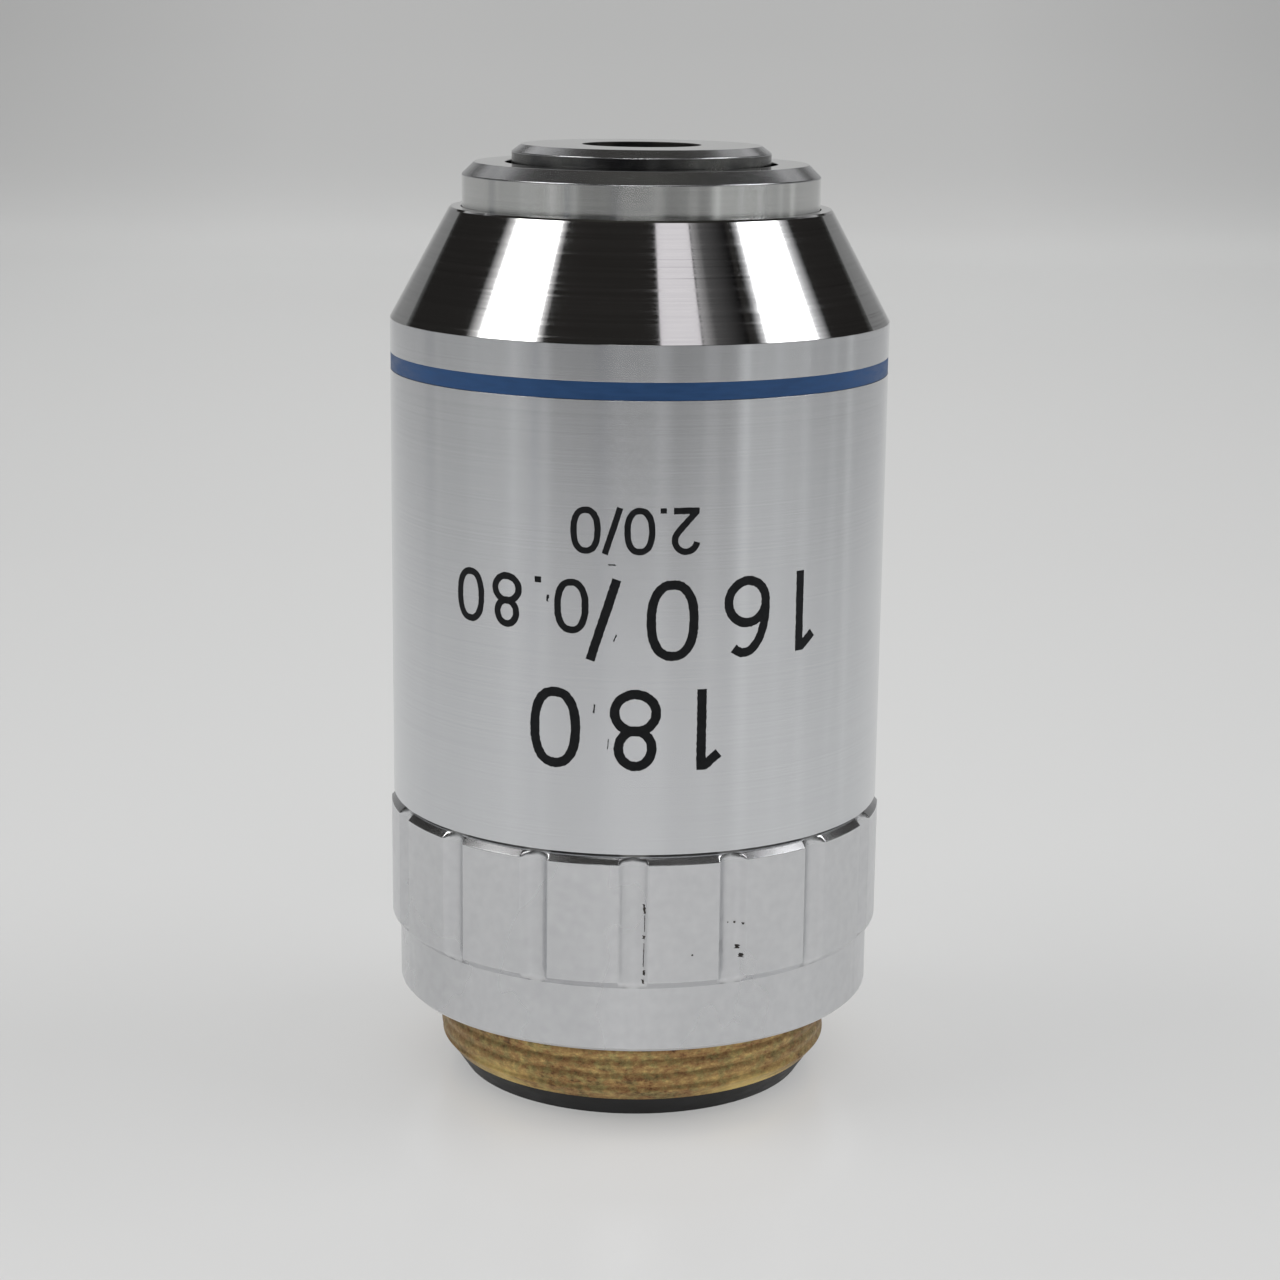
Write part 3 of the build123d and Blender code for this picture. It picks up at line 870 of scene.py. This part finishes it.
# Stray ticks of paint and scratches beside the engraving
verts, faces = [], []
for u_deg, v, long, wide, lean in (
    (-19.6, 22.5, 0.32, 0.10, 0.1),
    (-4.6, 20.75, 0.30, 0.07, 0.5),
    (-9.0, 17.3, 0.42, 0.07, 0.05),
    (-5.4, 24.25, 0.06, 0.26, 0.0),
    (-5.9, 15.6, 0.50, 0.04, 0.1),
    (14.7, 17.4, 0.55, 0.035, 0.05),
):
    u = math.radians(u_deg) * BODY_R
    line = [(u - lean * long / 2, v - long / 2), (u + lean * long / 2, v + long / 2)]
    ribbon(verts, faces, walk(line, 0.06), wide, on_sleeve, wide * 0.3)
ticks = flat_piece("paint_ticks", verts, faces, PAINT)
fit(ticks, "housing", None)


# Grime and painted shade on the grip ring: specks of grime, and a broken dark line of painted shade along the right
# edge of the front flute
def on_ring(u, v, lift):
    """A point of the grip ring: u millimetres round from the front, v up from the shoulder."""
    angle = u / LAND_R - math.pi / 2
    heights = [0.0, RIM_TOP, RIM_TOP + LAND_R - RIM_R, RING_TOP - LAND_CHAMFER, RING_TOP]
    profile = np.interp(v, heights, [RIM_R, RIM_R, LAND_R, LAND_R, LAND_R - LAND_CHAMFER])
    wall = float(fluted(np.array([[angle]]), np.array([[profile]]), v)[0, 0])
    r = wall - GRIME_AND_SHADE_ROOT + GRIME_AND_SHADE_THICK * lift
    return (r * math.cos(angle) * MM, r * math.sin(angle) * MM, v * MM)


verts, faces = [], []
# Painted shade: dark dashes down the right edge of the front flute, where the flute's wall is in shade.
edge = math.radians(2.35) * LAND_R
for low, high, wide in (
    (3.64, 3.84, 0.11), (4.08, 4.34, 0.08), (4.5, 5.7, 0.028), (5.92, 6.08, 0.10), (6.3, 7.1, 0.025),
    (7.2, 7.66, 0.10),
):
    line = [(edge + chance.uniform(-0.04, 0.04), low), (edge + chance.uniform(-0.04, 0.04), high)]
    ribbon(verts, faces, walk(line, 0.06), wide, on_ring, wide * 0.35)
for u_deg, v, wide, long in (
    (23.5, 6.43, 0.10, 0.10), (25.2, 6.38, 0.10, 0.10), (24.1, 5.19, 0.20, 0.20), (24.9, 4.76, 0.16, 0.2),
    (13.1, 5.08, 0.08, 0.08), (22.0, 6.45, 0.06, 0.06),
):
    u = math.radians(u_deg) * LAND_R
    ribbon(verts, faces, walk([(u, v - long / 2), (u, v + long / 2)], 0.05), wide, on_ring, wide * 0.3)
specks = flat_piece("grime_specks_and_shade_line", verts, faces, GRIME_AND_SHADE)
fit(specks, "housing", None)

# Floor and backdrop in one pale sweep, in metres. It ends on the camera's side, where metal reflects a dim room, and
# an apron that only the camera sees carries it on there, for views from behind.
NEAR = -0.17
FAR = 0.50
RISE = 0.50
RISE_STEPS = 32
HALF_WIDTH = 1.6
APRON = 2.5


def make_strip(name, profile, half_width, material):
    """A smooth strip of floor along a profile of (Y, height) points."""
    verts, faces = [], []
    for y, z in profile:
        verts.append((-half_width, y, FOOT * MM + z))
        verts.append((half_width, y, FOOT * MM + z))
    for k in range(len(profile) - 1):
        faces.append((2 * k, 2 * k + 1, 2 * k + 3, 2 * k + 2))
    mesh = bpy.data.meshes.new(name)
    mesh.from_pydata(verts, [], faces)
    mesh.polygons.foreach_set("use_smooth", np.ones(len(faces), dtype=bool))
    mesh.materials.append(material)
    return add_object(name, mesh)


def sweep_profile():
    """Flat, then turned up into a wall, gently at first."""
    profile = [(NEAR, 0.0), (0.0, 0.0), (FAR, 0.0)]
    for k in range(RISE_STEPS):
        share = (k + 0.5) / RISE_STEPS
        slope = math.pi / 2 * share * share * (3 - 2 * share)
        y, z = profile[-1]
        profile.append((y + RISE / RISE_STEPS * math.cos(slope), z + RISE / RISE_STEPS * math.sin(slope)))
    return profile


FLOOR = floor_paint()
make_strip("floor", sweep_profile(), HALF_WIDTH, FLOOR)
apron = make_strip("apron", [(-APRON, 0.0), (NEAR, 0.0)], APRON, FLOOR)
apron.visible_diffuse = False
apron.visible_glossy = False
apron.visible_transmission = False
apron.visible_shadow = False


# Light: soft lamps for the floor and the shadows, and glowing panels that only reflections see
AIM_HEIGHT = 0.037


def aim(thing, azimuth, elevation, distance, roll=0.0):
    """Sets a thing to face the object; azimuth is from the camera side towards the right."""
    az, el = math.radians(azimuth), math.radians(elevation)
    direction = Vector((math.cos(el) * math.sin(az), -math.cos(el) * math.cos(az), math.sin(el)))
    turn = Quaternion((0, 0, 1), math.radians(roll))
    thing.location = direction * distance + Vector((0, 0, AIM_HEIGHT))
    thing.rotation_euler = (direction.to_track_quat("Z", "Y") @ turn).to_euler()


def lamp(name, azimuth, elevation, distance, width, height, watts, colour):
    data = bpy.data.lights.new(name, "AREA")
    data.shape = "RECTANGLE"
    data.size = width
    data.size_y = height
    data.energy = watts
    data.color = colour
    thing = add_object(name, data)
    aim(thing, azimuth, elevation, distance)
    thing.visible_camera = False
    thing.visible_glossy = False


def panel(name, azimuth, elevation, distance, width, height, radiance, colour, fade, roll=0.0):
    """A glowing rectangle that fades towards its left and right edges, over two shares of its width."""
    mesh = bpy.data.meshes.new(name)
    w, h = width / 2, height / 2
    mesh.from_pydata([(-w, -h, 0), (w, -h, 0), (w, h, 0), (-w, h, 0)], [], [(0, 3, 2, 1)])
    material = bpy.data.materials.new(name)
    material.use_nodes = True
    material.node_tree.nodes.clear()
    n = Nodes(material.node_tree)
    first, last = fade
    levels = (
        (0.0, 0.0), (0.7 * first, 0.2), (first, 1.0),
        (1 - last, 1.0), (1 - 0.7 * last, 0.2), (1.0, 0.0),
    )
    stops = [(position, tuple(part * level for part in colour)) for position, level in levels]
    across = n.split(n.place(source="Generated"))["X"]
    glow = n.add("ShaderNodeEmission")
    glow.inputs["Strength"].default_value = radiance
    n.link(n.ramp(across, *stops), glow.inputs["Color"])
    n.link(glow.outputs["Emission"], n.add("ShaderNodeOutputMaterial").inputs["Surface"])
    mesh.materials.append(material)
    thing = add_object(name, mesh)
    aim(thing, azimuth, elevation, distance, roll)
    thing.visible_camera = False
    thing.visible_diffuse = False
    thing.visible_shadow = False


lamp("left_lamp", -77, 46, 0.60, 0.40, 0.30, 0.95, (1.0, 0.99, 0.98))
lamp("right_lamp", 88, 44, 0.60, 0.40, 0.30, 0.95, (0.99, 0.99, 1.0))
lamp("front_lamp", 15, 50, 0.60, 0.50, 0.35, 0.45, (1.0, 0.985, 0.98))
panel("left_panel", -77, 42, 0.60, 0.38, 0.15, 4.5, (1.0, 0.99, 0.98), (0.24, 0.12), 22)
panel("right_panel", 88.5, 38.5, 0.60, 0.39, 0.15, 4.5, (0.99, 0.99, 1.0), (0.14, 0.28), -22)
panel("front_panel", 23.8, 53, 0.60, 0.172, 0.14, 0.95, (1.0, 0.965, 0.99), (0.035, 0.05))
panel("dim_panel", 46.3, 50, 0.63, 0.234, 0.16, 0.50, (1.0, 0.98, 0.98), (0.02, 0.85))
panel("left_rear_panel", -138, 42, 0.60, 0.14, 0.14, 0.9, (1.0, 1.0, 1.0), (0.4, 0.4))
panel("right_rear_panel", 141, 40, 0.60, 0.14, 0.14, 0.9, (1.0, 1.0, 1.0), (0.4, 0.4))
panel("rear_panel", 180, 41, 0.66, 1.1, 0.34, 0.48, (1.0, 1.0, 1.0), (0.14, 0.14))
panel("edge_strip", -4, 29, 0.60, 0.46, 0.06, 6.0, (1.0, 1.0, 1.0), (0.3, 0.3))

# World: pale to the camera, and palest at the sides to what is lit. Reflections see a room with tall things in it,
# dim on the camera's side, under a dark ceiling.
world = bpy.data.worlds.new("studio")
bpy.context.scene.world = world
world.use_nodes = True
w = Nodes(world.node_tree)
height = w.split(w.place((0.5, 0.5, 0.5), "Generated", (0.5, 0.5, 0.5)))["Z"]
round_about = w.add("ShaderNodeTexGradient", gradient_type="RADIAL")
w.link(w.place(source="Generated"), round_about.inputs["Vector"])
room_stops = []
for azimuth, grey in (
    (-90, 0.20), (-60, 0.19), (-43, 0.22), (-38, 0.075), (0, 0.08), (10, 0.11), (44, 0.10),
    (50, 0.34), (58, 0.27), (90, 0.27), (180, 0.34), (238, 0.27), (262, 0.17), (270, 0.20),
):
    room_stops.append(((azimuth + 90) / 360, (grey * 0.99, grey, grey * 1.005)))
room = w.ramp(round_about.outputs["Fac"], *room_stops)
shade = w.ramp(
    w.noise((4.5, 4.5, 0.15), detail=2.5, rough=0.6, source="Generated"),
    (0.36, (0.38, 0.42, 0.50)),
    (0.45, (0.80, 0.80, 0.77)),
    (0.55, (1.10, 1.13, 1.12)),
    (0.64, (2.0, 2.0, 1.96)),
)
room = w.mix(1.0, room, shade, "MULTIPLY")
ceiling = w.ramp(
    height,
    (0.60, (0.020, 0.019, 0.018)),
    (0.95, (0.022, 0.021, 0.019)),
    (1.0, (0.050, 0.049, 0.043)),
)
reflected = w.mix(w.ramp(height, (0.595, 0.0), (0.635, 1.0)), room, ceiling)
around = w.ramp(
    round_about.outputs["Fac"],
    (0.0, 1.05), (0.125, 0.42), (0.25, 0.22), (0.375, 0.42), (0.5, 1.05), (0.75, 0.75), (1.0, 1.05),
)
path = w.add("ShaderNodeLightPath")
lit = w.mix(path.outputs["Is Diffuse Ray"], (0.66, 0.66, 0.66), around)
seen = w.mix(path.outputs["Is Glossy Ray"], lit, reflected)
w.link(seen, w.tree.nodes["Background"].inputs["Color"])

# Camera, as measured from the photo
pitch, yaw, roll = math.radians(12.93), math.radians(0.08), math.radians(0.65)
forward = Vector((math.sin(yaw) * math.cos(pitch), math.cos(yaw) * math.cos(pitch), -math.sin(pitch)))
level = forward.cross(Vector((0, 0, 1))).normalized()
above = level.cross(forward)
right = level * math.cos(roll) + above * math.sin(roll)
up = above * math.cos(roll) - level * math.sin(roll)
lens = bpy.data.cameras.new("camera")
lens.sensor_width = 36.0
lens.lens = 76.67
lens.clip_start = 0.001
camera = add_object("camera", lens)
camera.matrix_world = Matrix((right, up, -forward)).transposed().to_4x4()
camera.location = (0, -0.13703, 0.04928)
bpy.context.scene.camera = camera

bpy.context.scene.view_settings.view_transform = "Standard"
